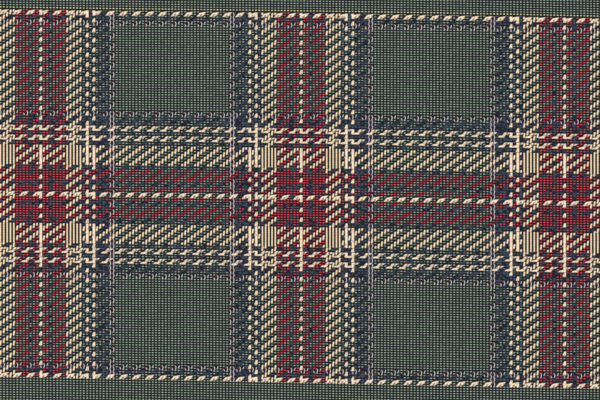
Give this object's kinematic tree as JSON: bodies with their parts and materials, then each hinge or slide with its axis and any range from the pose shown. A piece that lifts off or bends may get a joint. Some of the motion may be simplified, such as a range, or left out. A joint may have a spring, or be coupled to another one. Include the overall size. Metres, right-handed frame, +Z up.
{
  "type": "necktie",
  "caption": "Bias-cut woven necktie folded in four layers as in its box, with pointed blade and tail, keeper loop, lined tips and blank labels; it unfolds flat.",
  "frame": {"origin": "middle of the folded tie's footprint, on the surface that it lies on", "axes": "+Z up, away from that surface; +Y along the tie from the blade's point towards the fold behind it; +X across the blade"},
  "size_m": [0.09, 0.3759, 0.0214],
  "materials": {
    "woven_silk": "woven silk jacquard, twill tartan of dark green, navy, red and cream",
    "wool_interlining": "brushed wool and cotton interlining",
    "satin_tipping": "plain dark green satin lining",
    "label_cloth": "blank woven label",
    "sewing_thread": "dark green silk sewing thread"
  },
  "bodies": {
    "tail": {"tail_panel": "woven_silk", "tail_interlining": "wool_interlining", "tail_tipping": "satin_tipping", "care_label": "label_cloth", "care_label_stitches": "sewing_thread", "tail_bar_tack": "sewing_thread", "tail_slip_stitch": "sewing_thread", "tail_panel_fold": "woven_silk", "interlining_fold_c": "wool_interlining"},
    "neck": {"neck_panel": "woven_silk", "tail_panel_start": "woven_silk", "neck_interlining": "wool_interlining", "neck_slip_stitch": "sewing_thread", "tail_seam_thread": "sewing_thread", "neck_panel_fold": "woven_silk", "interlining_fold_b": "wool_interlining"},
    "upper": {"front_panel_upper": "woven_silk", "neck_panel_start": "woven_silk", "upper_interlining": "wool_interlining", "upper_slip_stitch": "sewing_thread", "front_seam_thread": "sewing_thread", "front_panel_fold": "woven_silk", "interlining_fold_a": "wool_interlining"},
    "front": {"front_panel": "woven_silk", "front_interlining": "wool_interlining", "front_tipping": "satin_tipping", "keeper_loop": "woven_silk", "keeper_loop_stitches": "sewing_thread", "maker_label": "label_cloth", "maker_label_stitches": "sewing_thread", "front_bar_tack": "sewing_thread", "front_slip_stitch": "sewing_thread"}
  },
  "joints": [
    {"name": "fold_c", "type": "hinge", "parent": "tail", "child": "neck", "pos_m": [0, 0.1818, 0.00385], "axis": [-1, 0, 0], "range_deg": [0, 178], "deforming": ["tail_panel_fold", "interlining_fold_c"]},
    {"name": "fold_b", "type": "hinge", "parent": "neck", "child": "upper", "pos_m": [0, -0.1842, 0.0084], "axis": [1, 0, 0], "range_deg": [0, 178], "deforming": ["neck_panel_fold", "interlining_fold_b"]},
    {"name": "fold_a", "type": "hinge", "parent": "upper", "child": "front", "pos_m": [0, 0.1818, 0.01525], "axis": [-1, 0, 0], "range_deg": [0, 178], "deforming": ["front_panel_fold", "interlining_fold_a"]}
  ]
}
